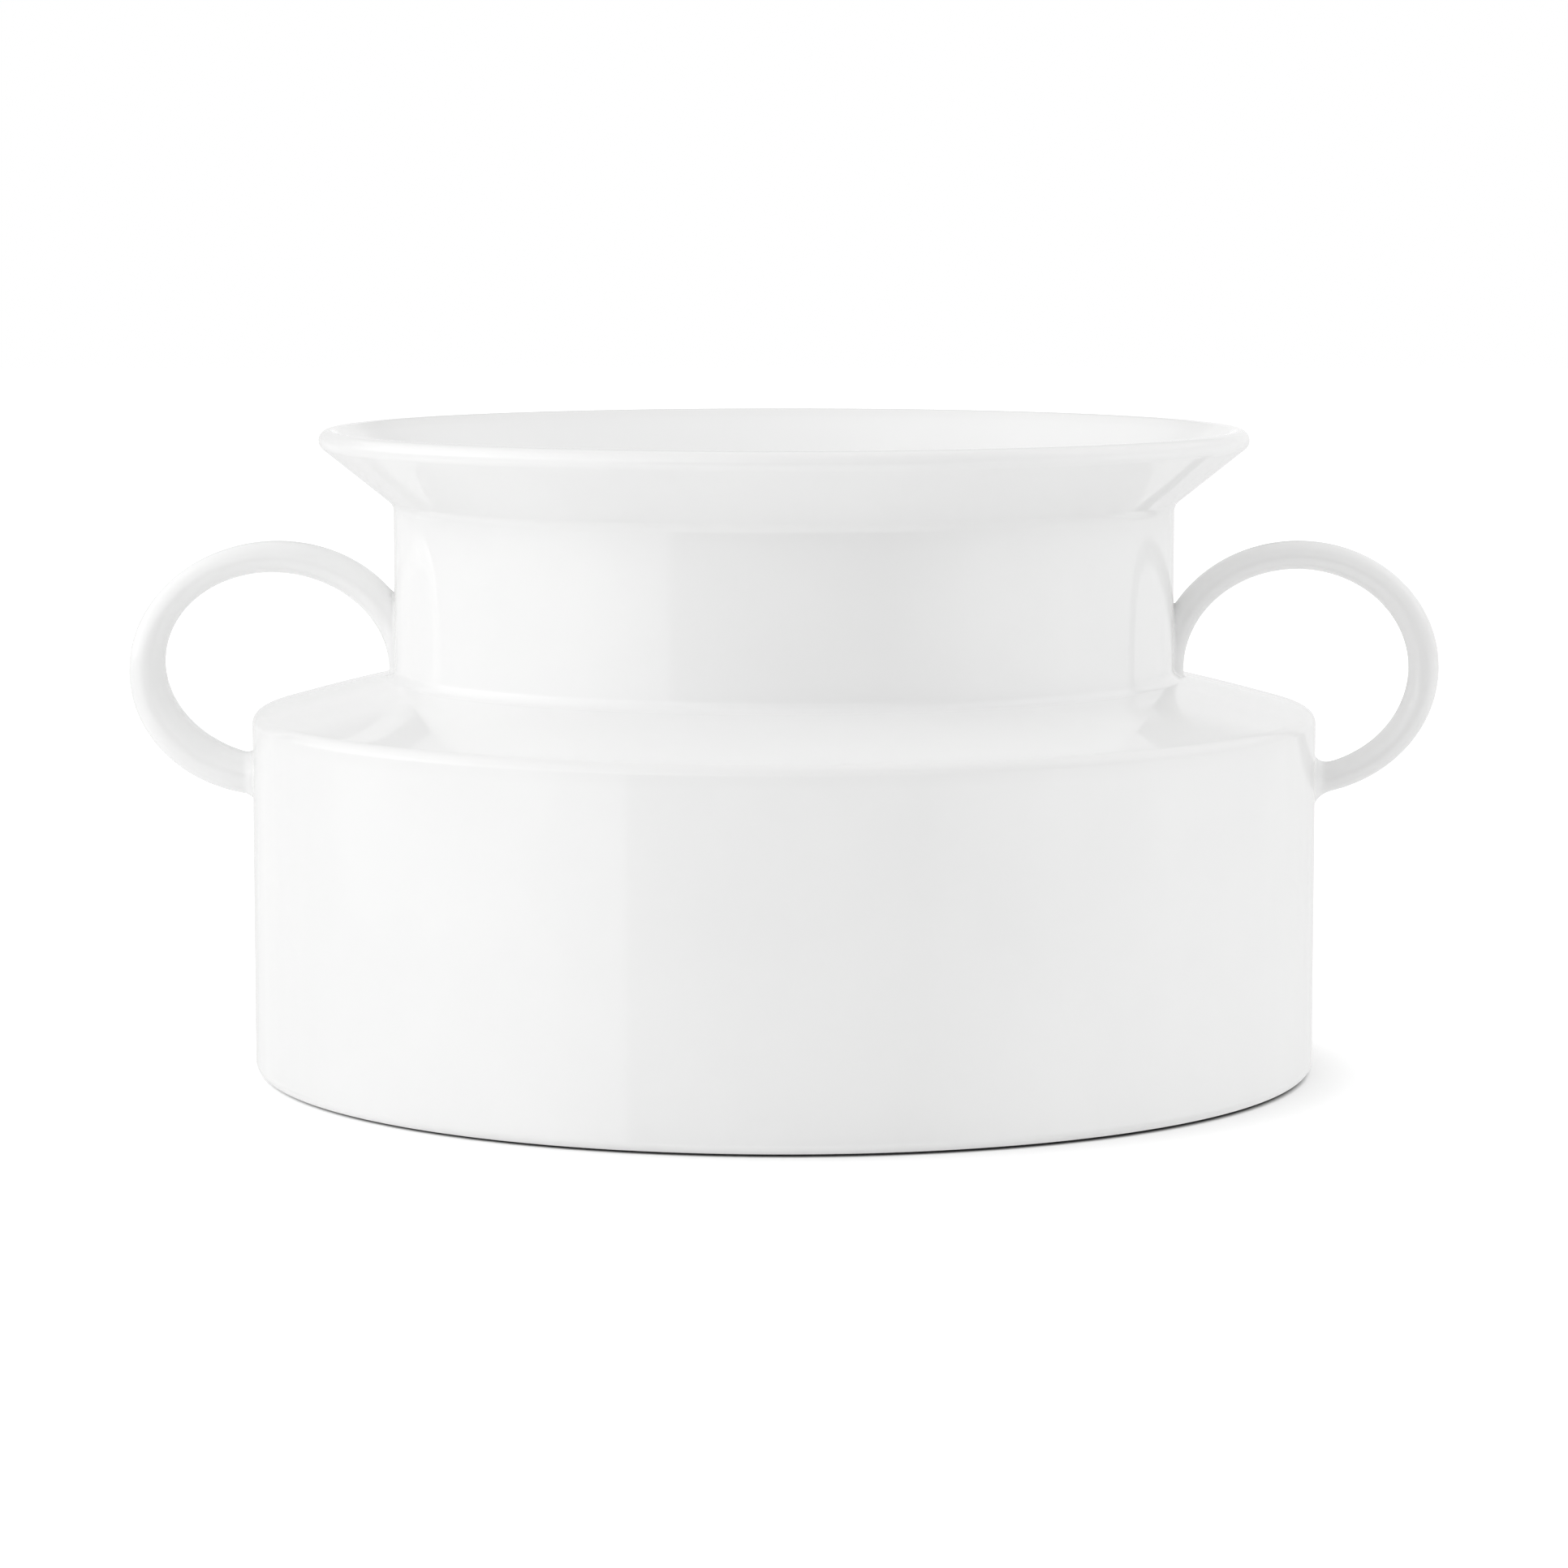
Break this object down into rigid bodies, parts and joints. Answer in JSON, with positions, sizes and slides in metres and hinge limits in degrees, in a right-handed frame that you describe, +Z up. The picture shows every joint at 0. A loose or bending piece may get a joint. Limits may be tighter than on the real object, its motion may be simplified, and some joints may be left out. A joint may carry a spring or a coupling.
{
  "type": "two-handled vase",
  "caption": "Low white glazed vase: a wide drum with a domed shoulder, an upright neck with a flared rim, and a round looped handle on each side.",
  "frame": {"origin": "on the ground, under the middle of the foot ring", "axes": "+Z up along the vessel's axis, +X towards the handle on the right of the picture, +Y away from the viewer"},
  "size_m": [0.272, 0.22, 0.1327],
  "materials": {
    "glaze": "glossy white glaze",
    "bare_clay": "unglazed, fine matt"
  },
  "bodies": {
    "root": {"drum": "glaze", "foot_ring": "bare_clay", "neck": "glaze", "neck_slip_joint": "glaze", "left_handle": "glaze", "left_handle_neck_slip": "glaze", "left_handle_drum_slip": "glaze", "right_handle": "glaze", "right_handle_neck_slip": "glaze", "right_handle_drum_slip": "glaze"}
  },
  "joints": []
}
